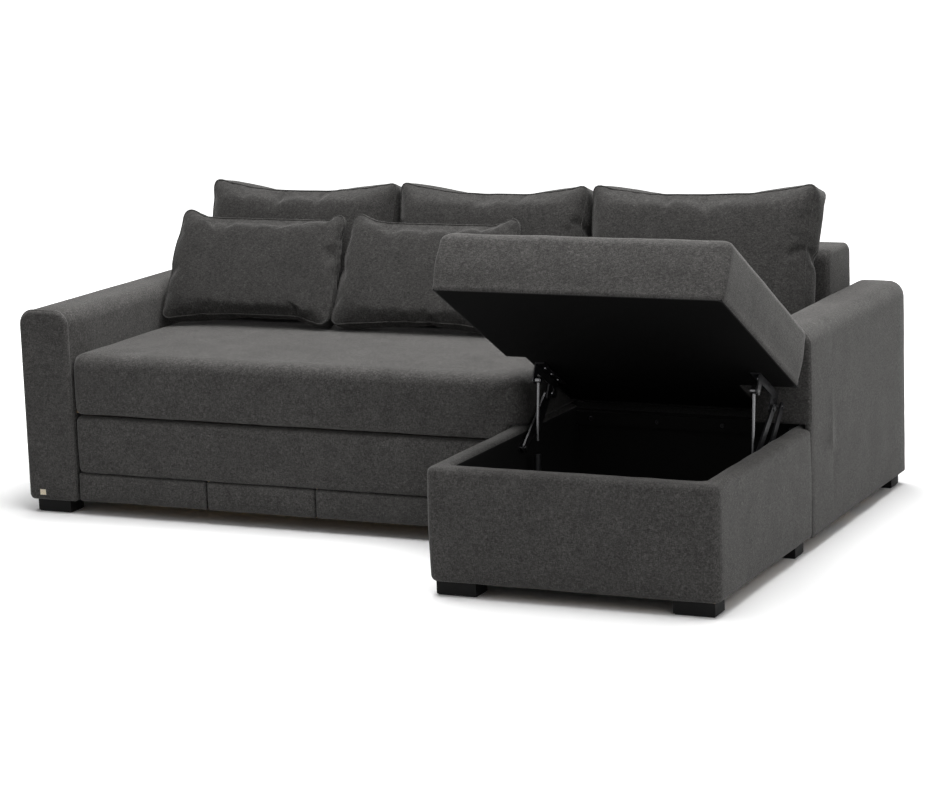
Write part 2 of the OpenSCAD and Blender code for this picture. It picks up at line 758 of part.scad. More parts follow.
// A pin from the wall through a plate and a link, with its head inside
module base_pin_through(p, link_in) {
    disc(p, 0, link_in + link_t + pin_gap, pin_r);
    disc(p, link_in + link_t + pin_gap, pin_head_t, pin_head_r);
}

module base_pins() {
    base_pin_through(front_base, front_link_in);
    base_pin_through(rear_base, rear_link_in);
}

module lift_base_pins() {
    color(zinc_colour) {
        on_left() base_pins();
        on_right() base_pins();
    }
}

// lug is the pin on the closed lid, base the pin on the box, and play the gap round the lid's pin
module link(lug, base, link_in, play) {
    top = opened(lug);
    difference() {
        plate_yz(link_in, link_t) strap(base, top, link_r);
        disc(base, link_in - over, link_t + 2 * over, pin_r + pin_gap);
        disc(top, link_in - over, link_t + 2 * over, pin_r + play);
    }
}

module front_link() {
    link(front_lug, front_base, front_link_in, pin_gap);
}

module rear_link() {
    link(rear_lug, rear_base, rear_link_in, pin_r / 4);
}

module front_link_left() {
    color(steel_colour) on_left() front_link();
}

module front_link_right() {
    color(steel_colour) on_right() front_link();
}

module rear_link_left() {
    color(steel_colour) on_left() rear_link();
}

module rear_link_right() {
    color(steel_colour) on_right() rear_link();
}

// Turns the closed lid to its open place
module open_lid() {
    translate([0, turn[0], turn[1]]) rotate([-lid_tilt, 0, 0]) translate([0, -turn[0], -turn[1]]) children();
}

// Outline of the lid, drawn in by gap all round
function lid_outline(gap, r) = [[lid_x0 + gap, lid_y0 + gap, r], [lid_x1 - gap, lid_y0 + gap, r],
    [lid_x1 - gap, lid_y0 + lid_ear - gap, r], [lid_arm_x - gap, lid_y0 + lid_ear - gap, r / 2],
    [lid_arm_x - gap, lid_y0 + lid_len - gap, r], [lid_notch_x + gap, lid_y0 + lid_len - gap, r],
    [lid_notch_x + gap, lid_notch_y - gap, r / 2], [lid_x0 + gap, lid_notch_y - gap, r]];

module lid_board() {
    color(black_colour) place() open_lid() translate([0, 0, lid_z]) linear_extrude(lid_board_t)
        polygon([for (c = lid_outline(lid_gap / 2, 0)) [c[0], c[1]]]);
}

module lid_cushion() {
    z0 = lid_z + lid_board_t;
    z1 = lid_z + lid_t;
    r = lid_edge_r;
    levels = [[0.12 * r, z0], [0.04 * r, z0 + 0.2 * r], [0, (z0 + z1) / 2], [0.06 * r, z1 - r], [0.18 * r, z1 - 0.5 * r],
        [0.45 * r, z1 - 0.16 * r], [r, z1], [1.8 * r, z1 + 0.7 * lid_crown], [2.4 * r, z1 + lid_crown]];
    color(fabric_colour) place() open_lid() soft_form(lid_outline(0, r / 2), levels, slide_gap / 2);
}

// A bar under the lid with a lug for each pin, drawn closed
module lid_bar() {
    y0 = strut_lug[0] - link_r;
    y1 = rear_lug[0] + 0.3 * link_r;
    lugs = [front_lug, rear_lug, strut_lug];
    difference() {
        union() {
            plate_yz(bar_in, plate_t) {
                translate([y0, lid_z - bar_h]) square([y1 - y0, bar_h]);
                for (p = lugs) {
                    translate(p) circle(link_r, $fn = 48);
                    translate([p[0] - link_r, p[1]]) square([min(2 * link_r, y1 - p[0] + link_r), lid_z - p[1]]);
                }
            }
            translate([bar_in + plate_t, y0, lid_z - plate_t]) cube([bar_h, y1 - y0, plate_t]);
        }
        for (p = lugs) disc(p, bar_in - over, plate_t + 2 * over, pin_r);
    }
}

module lid_side(right) {
    if (right) on_right() children();
    else on_left() children();
}

module lid_bars() {
    color(steel_colour) for (right = [false, true]) lid_side(right) open_lid() lid_bar();
}

// A pin from the lid's bar through a link, with its head on the wall side
module link_pin(p, link_in) {
    disc(p, link_in - pin_gap, bar_in + plate_t - link_in + pin_gap, pin_r);
    disc(p, link_in - pin_gap - pin_head_t, pin_head_t, pin_head_r);
}

module lid_pins() {
    color(zinc_colour) for (right = [false, true]) lid_side(right) open_lid() {
        link_pin(front_lug, front_link_in);
        link_pin(rear_lug, rear_link_in);
        disc(strut_lug, bar_in, strut_in + eye_t / 2 - bar_in + pin_gap, pin_r);
        disc(strut_lug, strut_in + eye_t / 2 + pin_gap, pin_head_t, pin_head_r);
    }
}

module lid_screws() {
    color(zinc_colour) for (right = [false, true]) lid_side(right) open_lid()
        for (share = [0.18, 0.5, 0.82])
            translate([bar_in + plate_t + bar_h / 2, strut_lug[0] + share * (rear_lug[0] - strut_lug[0]), lid_z - plate_t])
                mirror([0, 0, 1]) cylinder(r1 = pin_head_r * 0.8, r2 = pin_head_r * 0.6, h = pin_head_t, $fn = 32);
}

// Gas strut, drawn open along its own axis from the foot up
module strut_axis() {
    translate([strut_in, strut_foot[0], strut_foot[1]]) rotate([angle_of(opened(strut_lug) - strut_foot) - 90, 0, 0])
        children();
}

module eye(z) {
    translate([0, 0, z]) rotate([0, 90, 0]) cylinder(r = 0.9 * cylinder_r, h = eye_t, center = true, $fn = 32);
}

cylinder_long = strut_closed - 3.2 * cylinder_r;

module gas_cylinder() {
    hole = rod_r + pin_gap;
    strut_axis() {
        difference() {
            union() {
                eye(0);
                translate([0, 0, 0.7 * cylinder_r]) cylinder(r = cylinder_r, h = cylinder_long - 0.7 * cylinder_r, $fn = 48);
            }
            translate([0, 0, 2 * cylinder_r]) cylinder(r = hole, h = cylinder_long, $fn = 32);
        }
        translate([foot_plate_in - strut_in - plate_t / 2, 0, 0]) rotate([0, 90, 0])
            cylinder(r = pin_r, h = strut_in - foot_plate_in - eye_t / 2 + plate_t / 2 + over, $fn = 32);
    }
}

module gas_rod() {
    strut_axis() difference() {
        union() {
            eye(strut_open);
            translate([0, 0, strut_open - (cylinder_long - 2.4 * cylinder_r)])
                cylinder(r = rod_r, h = cylinder_long - 2.4 * cylinder_r - pin_r, $fn = 32);
        }
        translate([0, 0, strut_open]) rotate([0, 90, 0])
            cylinder(r = pin_r + pin_gap, h = eye_t + 2 * over, center = true, $fn = 32);
    }
}

module gas_cylinder_left() {
    color(steel_colour) on_left() gas_cylinder();
}

module gas_cylinder_right() {
    color(steel_colour) on_right() gas_cylinder();
}

module gas_rod_left() {
    color(zinc_colour) on_left() gas_rod();
}

module gas_rod_right() {
    color(zinc_colour) on_right() gas_rod();
}

// A bent bracket on the wall, whose hole leaves the strut's lower pin room to shift
module strut_foot_bracket() {
    y = strut_foot[0];
    z = strut_foot[1];
    half = foot_play + pin_r + plate_t;
    top = z + 2 * half;
    difference() {
        union() {
            block([0, y - half, z - half], [plate_t, y + half, top]);
            block([0, y - half, top - plate_t], [foot_plate_in + plate_t, y + half, top]);
            block([foot_plate_in, y - half, z - half], [foot_plate_in + plate_t, y + half, top]);
        }
        disc([y, z], plate_t + over, foot_plate_in + over, pin_r + foot_play);
    }
}

module strut_feet() {
    color(steel_colour) {
        on_left() strut_foot_bracket();
        on_right() strut_foot_bracket();
    }
}

// Screw heads on the lift plates and on the rear rail
module frame_screws() {
    color(zinc_colour) {
        for (right = [false, true]) lid_side(right) for (share = [0.3, 0.7]) {
            p = front_base + share * (rear_base - front_base);
            translate([plate_t, p[0], p[1]]) rotate([0, 90, 0])
                cylinder(r = 0.6 * pin_head_r, h = pin_head_t, $fn = 32);
        }
        place() for (share = [0.07, 0.36, 0.64, 0.93])
            translate([in_x0 + share * (in_x1 - in_x0), box_back - rail_t, board_top - pad_t / 4 - rail_h / 2])
                rotate([90, 0, 0]) cylinder(r1 = pin_head_r, r2 = pin_head_r * 0.7, h = pin_head_t, $fn = 32);
    }
}

// Loose cushions

cushion_z = seat_top + seat_crown + soft_gap;
// Left and right ends of the row of large cushions, and each one's share of it
row_x0 = arm_w + 3.5 * pad_t;
row_x1 = arm_in_x - slide_gap;
row_shares = [0, 0.3287, 0.6474, 1];
// Plumpness: how tall each cushion of the row stands
height_shares = [0.995, 1, 1.03];
back_edge_r = 30;
// How far below the seats' crown each one's lowest corners lie
row_dip_shares = [0.27, 0.265, 0.4];
// Middle plane of the large cushions at the seat
back_low = 0.6 * back_cushion_t / 2 * sin(back_lean);
back_plane_y = back_y - (back_h - cushion_z) * tan(back_lean)
    - (back_cushion_t / 2 + back_cushion_flat) / cos(back_lean) - 2 * slide_gap;

module back_cushion(i) {
    x0 = row_x0 + row_shares[i] * (row_x1 - row_x0);
    x1 = row_x0 + row_shares[i + 1] * (row_x1 - row_x0) - slide_gap;
    low = cushion_z + back_low - row_dip_shares[i] * seat_crown;
    levels = cushion_levels(back_cushion_t, back_cushion_crown, back_cushion_flat, back_edge_r);
    color(fabric_colour) place() translate([(x0 + x1) / 2, back_plane_y, low]) rotate([-back_lean, 0, 0])
        standing(x1 - x0, back_cushion_h * height_shares[i], levels, 2 * slide_gap, back_edge_r);
}

module back_cushion_left() {
    back_cushion(0);
}

module back_cushion_middle() {
    back_cushion(1);
}

module back_cushion_right() {
    back_cushion(2);
}

small_edge_r = 20;
small_edge_t = 44;
small_crown = (small_t - small_edge_t) / 2;
small_x = [arm_w + slide_gap + small_w / 2, arm_w + 3 * slide_gap + 1.5 * small_w];
small_low = 0.6 * small_edge_t / 2 * sin(small_lean);
// The small cushions' middle plane keeps clear of the large ones where both swell most
small_plane_y = back_plane_y - (back_cushion_t / 2 + back_cushion_crown) / cos(back_lean)
    + 0.62 * small_h * (tan(back_lean) - tan(small_lean)) - (small_t / 2) / cos(small_lean) - slide_gap;

module small_cushion(x) {
    color(fabric_colour) place() translate([x, small_plane_y, cushion_z + small_low])
        rotate([-small_lean, 0, 0]) standing(small_w, small_h,
            cushion_levels(small_edge_t, small_crown, small_crown, small_edge_r), 2 * slide_gap, small_edge_r);
}

module small_cushion_left() {
    small_cushion(small_x[0]);
}

module small_cushion_right() {
    small_cushion(small_x[1]);
}

// A plain tag on the left arm's front
tag_w = 20;
tag_h = 17;
tag_t = 1;

module arm_tag() {
    color(tag_colour) place() translate([2 * tag_w, -tag_t, base_z + tag_h]) cube([tag_w, tag_t, tag_h]);
}

left_arm_cover();
left_arm_frame();
right_arm_cover();
right_arm_frame();
back_cover();
back_frame();
rear_board();
seat_frame();
seat_slats();
seat_mattress();
fixed_runners();
runner_buffers();
pullout_frame();
pullout_deck();
pullout_front();
pullout_mattress();
moving_runners();
wheel_brackets();
wheel_axles();
wheel_left();
wheel_right();
box_front_board();
box_left_board();
box_right_board();
box_rear_board();
box_floor();
box_lining();
box_front_cover();
box_left_cover();
box_right_cover();
box_rear_rail();
rear_seat_frame();
rear_seat_cushion();
module_angles();
feet();
foot_glides();
lift_plates();
lift_base_pins();
front_link_left();
front_link_right();
rear_link_left();
rear_link_right();
lid_board();
lid_cushion();
lid_bars();
lid_pins();
lid_screws();
gas_rod_left();
gas_rod_right();
gas_cylinder_left();
gas_cylinder_right();
strut_feet();
frame_screws();
back_cushion_left();
back_cushion_middle();
back_cushion_right();
small_cushion_left();
small_cushion_right();
arm_tag();
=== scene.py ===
"""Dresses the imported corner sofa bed: upholstery, cushions, materials, studio and camera."""

import json
import math

import bpy
import numpy as np
from mathutils import Matrix, Vector


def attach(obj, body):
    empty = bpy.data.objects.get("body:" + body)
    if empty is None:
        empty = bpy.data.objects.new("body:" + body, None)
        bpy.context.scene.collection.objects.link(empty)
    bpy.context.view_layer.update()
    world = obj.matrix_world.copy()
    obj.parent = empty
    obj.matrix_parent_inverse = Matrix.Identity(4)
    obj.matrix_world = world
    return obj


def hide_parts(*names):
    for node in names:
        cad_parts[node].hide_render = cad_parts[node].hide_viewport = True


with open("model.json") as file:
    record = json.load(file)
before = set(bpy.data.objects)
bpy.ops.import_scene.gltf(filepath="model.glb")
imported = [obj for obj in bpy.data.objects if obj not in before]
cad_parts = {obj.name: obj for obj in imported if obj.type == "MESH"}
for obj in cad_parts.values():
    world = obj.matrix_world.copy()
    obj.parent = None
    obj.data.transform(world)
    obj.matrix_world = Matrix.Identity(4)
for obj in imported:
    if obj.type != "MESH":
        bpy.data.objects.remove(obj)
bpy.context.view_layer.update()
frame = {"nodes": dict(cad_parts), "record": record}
scene = bpy.context.scene

# Sizes are in millimetres from the left arm's front corner, as in the part's source.
# at() turns them into the frame's metres.
MM = 0.001
SOFA_W = 2400
MAIN_D = 1100
REACH = 535
CHAISE_W = 815
FOOT_H = 38
ARM_W = 165
ARM_H = 615
RIGHT_ARM_Y = 203
BACK_H = 730
BACK_D = 215
PAD_T = 18
WALL_T = 58
RIM_Z = 348
BOX_BACK = 374
POCKET_Z = 354
BOX_END = 396
SEAT_TOP = 487
SEAT_CROWN = 8
LOW_Z = 306
GAP = 3
SEAT_EDGE_X = 1641.5
LID_Z = 348.6
LID_T = 168
LID_TILT = math.radians(29.5)
LID_PIVOT = np.array([0, 365, 425])
CHAISE_X = SOFA_W - CHAISE_W
ARM_IN_X = SOFA_W - ARM_W
BACK_Y = MAIN_D - BACK_D
SEAT_X = (168, SEAT_EDGE_X)
SEAT_Y = (3, 879)
ORIGIN = np.array([SOFA_W / 2, (MAIN_D - REACH) / 2, 0])


def at(points):
    """Millimetres from the left arm's front corner as metres in the frame."""
    return (np.asarray(points, float) - ORIGIN) * MM


# Meshes


def add_mesh(name, points, faces, material):
    """A smooth-shaded mesh from points in millimetres."""
    mesh = bpy.data.meshes.new(name)
    mesh.from_pydata(at(points).tolist(), [], [list(map(int, f)) for f in faces])
    mesh.polygons.foreach_set("use_smooth", [True] * len(mesh.polygons))
    mesh.update()
    obj = bpy.data.objects.new(name, mesh)
    scene.collection.objects.link(obj)
    mesh.materials.append(material)
    return obj


def inward(a, b):
    """The unit normal to the left of the line from a to b."""
    d = np.array([b[0] - a[0], b[1] - a[1]])
    d = d / np.linalg.norm(d)
    return np.array([-d[1], d[0]])


# The least share of its radius that an inset corner keeps, and the largest share of a side
# that it may take up
LEAST_RADIUS = 0.45
SIDE_SHARE = 0.48


def inset(corners, e):
    """The corners [x, y, radius], anticlockwise, with every side moved in by e.

    A corner's fourth value, if there is one, is how much its radius grows with e.
    Other corners keep their centre, and none gets too small a radius or one too big for its sides."""
    made = []
    for i, p in enumerate(corners):
        n1 = inward(corners[i - 1], p)
        n2 = inward(p, corners[(i + 1) % len(corners)])
        k = e / (1 + n1 @ n2)
        turns_out = n1[0] * n2[1] - n1[1] * n2[0] > 0
        grow = p[3] if len(p) > 3 else -1
        r = max(p[2] + (grow * e if turns_out else e), LEAST_RADIUS * p[2])
        made.append([p[0] + k * (n1 + n2)[0], p[1] + k * (n1 + n2)[1], r, *p[3:]])
    sides = [math.dist(made[i - 1][:2], made[i][:2]) for i in range(len(made))]
    for i, p in enumerate(made):
        p[2] = min(p[2], SIDE_SHARE * sides[i], SIDE_SHARE * sides[(i + 1) % len(made)])
    return made


QUARTER = math.pi / 2
ARC_POINTS = 7


def ring(corners, counts):
    """Points round the rounded outline, with counts[i] of them along side i."""
    points = []
    for i, p in enumerate(corners):
        a = corners[i - 1]
        b = corners[(i + 1) % len(corners)]
        here, r = np.array(p[:2]), p[2]
        ua = (np.array(a[:2]) - here) / np.linalg.norm(np.array(a[:2]) - here)
        ub = (np.array(b[:2]) - here) / np.linalg.norm(np.array(b[:2]) - here)
        for f in np.linspace(0, QUARTER, ARC_POINTS):
            points.append(here + r * (1 - math.sin(f)) * ua + r * (1 - math.cos(f)) * ub)
        start = here + r * ub
        end = np.array(b[:2]) - b[2] * ub
        for t in np.linspace(0, 1, counts[i] + 2)[1:-1]:
            points.append(start + t * (end - start))
    return np.array(points)


PLANES = {"xy": (0, 1, 2), "xz": (0, 2, 1), "yz": (1, 2, 0)}
CROWN_STEPS = (0.08, 0.2, 0.35, 0.55, 0.78, 1)
RING_STEP = 22


def loft(name, corners, levels, material, plane="xy"):
    """A closed form on an outline in a plane. Each level [inset, height] is one ring along the third axis."""
    counts = []
    for i, p in enumerate(corners):
        b = corners[(i + 1) % len(corners)]
        counts.append(max(2, round(math.hypot(b[0] - p[0], b[1] - p[1]) / RING_STEP)))
    u, v, h = PLANES[plane]
    rings = []
    for e, height in levels:
        flat = ring(inset(corners, e), counts)
        points = np.zeros((len(flat), 3))
        points[:, u], points[:, v], points[:, h] = flat[:, 0], flat[:, 1], height
        rings.append(points)
    n, m = len(rings[0]), len(rings)
    faces = [list(range(n))[::-1]]
    for k in range(m - 1):
        for i in range(n):
            j = (i + 1) % n
            faces.append([k * n + i, k * n + j, k * n + n + j, k * n + n + i])
    faces.append([m * n - n + i for i in range(n)])
    if plane == "xz":
        faces = [f[::-1] for f in faces]
    obj = add_mesh(name, np.concatenate(rings), faces, material)
    obj["ring"] = n
    return obj


def rounded_edge(h, way, r, first, last, n):
    """Levels round an edge of radius r under (way 1) or over (way -1) the height h.

    They run between two angles, of which 0 is at the side wall and a quarter turn on the face."""
    turns = np.linspace(first, last, n)
    return [(r * (1 - math.cos(t)), h - way * r * (1 - math.sin(t))) for t in turns]


def soft_end(h, way, r, deep=0, crown=0):
    """Levels from the side wall round an edge of radius r and, if deep, on over a crowned face."""
    levels = rounded_edge(h, way, r, 0.15, QUARTER, 7)
    if deep:
        for s in CROWN_STEPS:
            e = r + s * (deep - r)
            levels.append((e, h + way * crown * (1 - (1 - s) ** 2)))
    else:
        levels.append((1.8 * r, h))
    return levels


def bulged(e, h0, h1, belly, n):
    """Levels up a side wall inset by e, without its ends, whose middle stands out by belly."""
    return [(e - belly * math.sin(math.pi * t), h0 + t * (h1 - h0)) for t in np.linspace(0, 1, n)[1:-1]]


def block_levels(h0, h1, r0, r1, deep0=0, deep1=0, crown0=0, crown1=0, belly=0, seam=()):
    """Levels of a padded block between two heights, whose sides swell by belly behind a sewn-in seam."""
    low = soft_end(h0, -1, r0, deep0, crown0)[::-1]
    low += [(e, h0 + h) for e, h in seam]
    high = soft_end(h1, 1, r1, deep1, crown1)
    return low + bulged(0, low[-1][1], h1 - r1, belly, 9) + high


def rectangle(x0, y0, x1, y1, r, r_top=None):
    """A rectangle's corners for loft. r_top is the radius of the two on the far side, if it differs."""
    top = r if r_top is None else r_top
    return [[x0, y0, r], [x1, y0, r], [x1, y1, top], [x0, y1, top]]


WAVES = np.random.default_rng(7).normal(size=(14, 3))
PHASES = np.random.default_rng(8).uniform(0, 2 * math.pi, 14)


def swell(co, length):
    """Smooth noise, about -1 to 1, at points in metres."""
    waves = WAVES / np.linalg.norm(WAVES, axis=1)[:, None] * (2 * math.pi / length)
    return np.sin(co @ waves.T + PHASES).sum(1) / 5


def uneven(obj, amount, length=0.16, above=-1000):
    """Moves the skin in and out a little, as padding does, from just over the height above (mm) upward."""
    mesh = obj.data
    n = len(mesh.vertices)
    co = np.zeros(n * 3)
    mesh.vertices.foreach_get("co", co)
    co = co.reshape(-1, 3)
    normals = np.zeros(n * 3)
    mesh.vertex_normals.foreach_get("vector", normals)
    shift = amount * MM * (0.7 * swell(co, length) + 0.3 * swell(co + 3, 0.4 * length))
    shift *= np.clip((co[:, 2] / MM - above) / 20, 0, 1)
    mesh.vertices.foreach_set("co", (co + normals.reshape(-1, 3) * shift[:, None]).ravel())
    mesh.update()


def tube(name, path, radius, material, closed=True, sides=8):
    """A thin cord of cloth along a path in millimetres."""
    path = np.asarray(path, float)
    n = len(path)
    nxt = np.roll(path, -1, 0) if closed else np.vstack([path[1:], 2 * path[-1] - path[-2]])
    prv = np.roll(path, 1, 0) if closed else np.vstack([2 * path[0] - path[1], path[:-1]])
    along = nxt - prv
    along /= np.linalg.norm(along, axis=1)[:, None]
    side = np.cross(along[0], [0.3, 0.5, 0.81])
    frames = []
    for d in along:
        side = side - (side @ d) * d
        side /= np.linalg.norm(side)
        frames.append((side.copy(), np.cross(d, side)))
    points = []
    for p, (a, b) in zip(path, frames):
        for k in range(sides):
            t = 2 * math.pi * k / sides
            points.append(p + radius * (math.cos(t) * a + math.sin(t) * b))
    faces = []
    for i in range(n if closed else n - 1):
        for k in range(sides):
            i2, k2 = (i + 1) % n, (k + 1) % sides
            faces.append([i * sides + k, i2 * sides + k, i2 * sides + k2, i * sides + k2])
    if not closed:
        faces += [list(range(sides))[::-1], [n * sides - sides + k for k in range(sides)]]
    return add_mesh(name, points, faces, material)


# Materials


class Nodes:
    """A short way to wire a material's nodes."""

    def __init__(self, name):
        self.material = bpy.data.materials.new(name)
        self.material.use_nodes = True
        self.tree = self.material.node_tree
        self.shader = self.tree.nodes["Principled BSDF"]
        self.coords = self.add("ShaderNodeTexCoord").outputs["Object"]

    def add(self, kind, **values):
        node = self.tree.nodes.new(kind)
        for key, value in values.items():
            if key.startswith("in_"):
                node.inputs[key[3:].replace("_", " ")].default_value = value
            else:
                setattr(node, key, value)
        return node

    def link(self, a, b):
        self.tree.links.new(a, b)

    def stretched(self, scale):
        node = self.add("ShaderNodeMapping")
        node.inputs["Scale"].default_value = scale
        self.link(self.coords, node.inputs["Vector"])
        return node.outputs["Vector"]

    def noise(self, vector, scale, detail=2.0, rough=0.5):
        node = self.add("ShaderNodeTexNoise", in_Scale=scale, in_Detail=detail, in_Roughness=rough)
        self.link(vector, node.inputs["Vector"])
        return node.outputs["Fac"]

    def ramp(self, value, stops):
        node = self.add("ShaderNodeValToRGB")
        band = node.color_ramp
        while len(band.elements) < len(stops):
            band.elements.new(0.5)
        for element, (place, colour) in zip(band.elements, stops):
            element.position = place
            element.color = (*colour, 1) if len(colour) == 3 else colour
        self.link(value, node.inputs["Fac"])
        return node.outputs["Color"]

    def mix(self, a, b, factor, kind="MIX"):
        node = self.add("ShaderNodeMix", data_type="RGBA", blend_type=kind)
        if isinstance(factor, (int, float)):
            node.inputs["Factor"].default_value = factor
        else:
            self.link(factor, node.inputs["Factor"])
        for value, socket in ((a, node.inputs[6]), (b, node.inputs[7])):
            if isinstance(value, tuple):
                socket.default_value = (*value, 1)
            else:
                self.link(value, socket)
        return node.outputs[2]

    def math(self, kind, a, b):
        node = self.add("ShaderNodeMath", operation=kind)
        for value, socket in ((a, node.inputs[0]), (b, node.inputs[1])):
            if isinstance(value, (int, float)):
                socket.default_value = value
            else:
                self.link(value, socket)
        return node.outputs[0]

    def bump(self, height, distance, strength=1.0):
        node = self.add("ShaderNodeBump", in_Distance=distance, in_Strength=strength)
        self.link(height, node.inputs["Height"])
        self.link(node.outputs["Normal"], self.shader.inputs["Normal"])

    def colour(self, value):
        self.link(value, self.shader.inputs["Base Color"])

    def roughness(self, value):
        self.link(value, self.shader.inputs["Roughness"])


def grey(value, warm=0.0):
    return (value * (1 + warm), value, value * (1 - warm))


CLOTH_WARMTH = 0.035


def melange(name, base):
    """Charcoal cloth: threads and curled pile over soft clouds, with slubs and a weave in the relief."""
    n = Nodes(name)
    thread_x, thread_z, thread_y = (
        n.noise(n.stretched(scale), 1.0, 2.0, 0.6)
        for scale in ((110, 640, 640), (640, 640, 110), (640, 110, 640)))
    all_threads = n.math("ADD", n.math("ADD", thread_x, thread_z), thread_y)
    threads = n.math("MULTIPLY", all_threads, 1 / 3)
    clouds = n.noise(n.stretched((1, 1, 1)), 11.0, 3.0, 0.6)
    slubs = n.noise(n.stretched((90, 160, 160)), 1.0, 3.0, 0.6)
    curl = n.add("ShaderNodeTexNoise", in_Scale=92.0, in_Detail=1.5, in_Roughness=0.5, in_Distortion=2.2)
    n.link(n.coords, curl.inputs["Vector"])
    shades = ((0.40, 0.58), (0.5, 1), (0.62, 1.7))
    tone = n.ramp(threads, [(place, grey(share * base, CLOTH_WARMTH)) for place, share in shades])
    pile = n.ramp(curl.outputs["Fac"], [(0.36, grey(0.8)), (0.5, grey(1.0)), (0.62, grey(1.26))])
    tone = n.mix(tone, pile, 1.0, "MULTIPLY")
    cloud = n.ramp(clouds, [(0.3, grey(0.88)), (0.7, grey(1.12))])
    slub = n.ramp(slubs, [(0.35, grey(0.86)), (0.52, grey(1.0)), (0.72, grey(1.25))])
    n.colour(n.mix(n.mix(tone, cloud, 1.0, "MULTIPLY"), slub, 1.0, "MULTIPLY"))
    weave = n.noise(n.stretched((1, 1, 1)), 700.0, 1.0, 0.5)
    height = n.math("ADD", n.math("MULTIPLY", threads, 1.0), n.math("MULTIPLY", weave, 0.5))
    n.bump(height, 0.0014, 0.7)
    n.shader.inputs["Roughness"].default_value = 0.92
    n.shader.inputs["Specular IOR Level"].default_value = 0.2
    n.shader.inputs["Sheen Weight"].default_value = 0.22
    n.shader.inputs["Sheen Roughness"].default_value = 0.35
    n.shader.inputs["Sheen Tint"].default_value = (0.9, 0.89, 0.87, 1)
    return n.material


def lining(name, gloss, lighter=1):
    """Matt black felt-like lining, some times lighter than black."""
    n = Nodes(name)
    fibres = n.noise(n.stretched((1, 1, 1)), 300.0, 3.0, 0.6)
    n.colour(n.ramp(fibres, [(0.35, grey(0.0018 * lighter)), (0.7, grey(0.004 * lighter))]))
    n.bump(fibres, 0.0006, 0.5)
    n.shader.inputs["Roughness"].default_value = 0.85
    n.shader.inputs["Specular IOR Level"].default_value = gloss
    return n.material


def timber(name, light, dark, along):
    """Sawn wood whose grain runs along one axis."""
    n = Nodes(name)
    scale = [40.0, 40.0, 40.0]
    scale[along] = 3.0
    grain = n.noise(n.stretched(scale), 1.0, 6.0, 0.65)
    n.colour(n.ramp(grain, [(0.3, dark), (0.7, light)]))
    n.roughness(n.ramp(grain, [(0.3, grey(0.75)), (0.7, grey(0.55))]))
    n.bump(grain, 0.0008, 0.5)
    return n.material


def metal(name, colour, rough, metallic, grain=180.0):
    """Metal with small scratches and an uneven gloss."""
    n = Nodes(name)
    marks = n.noise(n.stretched((1, 1, 1)), grain, 4.0, 0.6)
    dark = tuple(0.8 * c for c in colour)
    n.colour(n.ramp(marks, [(0.3, dark), (0.7, colour)]))
    n.roughness(n.ramp(marks, [(0.3, grey(rough * 0.8)), (0.7, grey(min(1, rough * 1.3)))]))
    n.bump(marks, 0.0002, 0.3)
    n.shader.inputs["Metallic"].default_value = metallic
    return n.material


def moulded(name, value, rough, gloss=0.5):
    """Dark moulded plastic or rubber with a fine grain."""
    n = Nodes(name)
    grain = n.noise(n.stretched((1, 1, 1)), 500.0, 2.0, 0.5)
    wear = n.noise(n.stretched((1, 1, 1)), 22.0, 4.0, 0.6)
    n.colour(n.ramp(wear, [(0.3, grey(0.8 * value)), (0.75, grey(1.4 * value))]))
    n.roughness(n.ramp(wear, [(0.3, grey(rough)), (0.7, grey(min(1, rough + 0.15)))]))
    n.shader.inputs["Specular IOR Level"].default_value = gloss
    n.bump(grain, 0.0003, 0.4)
    return n.material


def woven_tag():
    """Pale tape with fine threads across it."""
    n = Nodes("tag_cloth")
    threads = n.noise(n.stretched((300, 2500, 2500)), 1.0, 2.0, 0.5)
    n.colour(n.ramp(threads, [(0.35, (0.66, 0.57, 0.42)), (0.65, (0.95, 0.86, 0.68))]))
    n.bump(threads, 0.0004, 0.5)
    n.shader.inputs["Roughness"].default_value = 0.8
    return n.material


CLOTH = melange("charcoal_melange", 0.058)
# The arm welts use the sofa's melange in a lighter copy. This is a painted highlight for the light line that
# runs along the rounded welts.
PIPING_PAINTED_HIGHLIGHT = melange("charcoal_piping", 0.08)
# The cushions use the sofa's melange in a darker copy. This is painted shade for the shade deep in the seat,
# under the lid, between the arms and against the back. Their piping is darkened the same way.
CUSHION_CLOTH_PAINTED_SHADE = melange("cushion_melange", 0.036)
CUSHION_PIPING_PAINTED_SHADE = melange("cushion_piping", 0.038)
BLACK = lining("black_lining", 0.2)
UNDER = lining("black_underside", 0.03)
FINISHES = {
    "timber": timber("softwood", (0.5, 0.36, 0.2), (0.34, 0.22, 0.11), 0),
    "slat_wood": timber("birch", (0.62, 0.48, 0.3), (0.48, 0.35, 0.2), 1),
    "black_board": BLACK,
    "black_steel": metal("black_steel", (0.03, 0.03, 0.032), 0.38, 0.6),
    "zinc": metal("bright_zinc", (0.17, 0.17, 0.175), 0.3, 1.0),
    "rubber": moulded("black_rubber", 0.014, 0.7),
    "dark_foot": moulded("dark_foot", 0.004, 0.6, 0.15),
    "tag": woven_tag(),
    "cover_fabric": CLOTH,
}
for part in frame["record"]["subparts"]:
    node = frame["nodes"][part["node"]]
    node.data.materials.clear()
    node.data.materials.append(FINISHES[part["material_slot"]])
frame["nodes"]["frame_screws"].data.materials[0] = FINISHES["black_steel"]
frame["nodes"]["rear_seat_frame"].data.materials[0] = lining("black_rail", 0.2, 12)


def dress(obj, body, *nodes):
    """The piece stands for these nodes and moves with that body."""
    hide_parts(*nodes)
    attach(obj, body)
    return obj


# Arms and back

EVEN_SKIN, FRAME_SKIN, SEAT_SKIN = 0.8, 1.0, 1.6

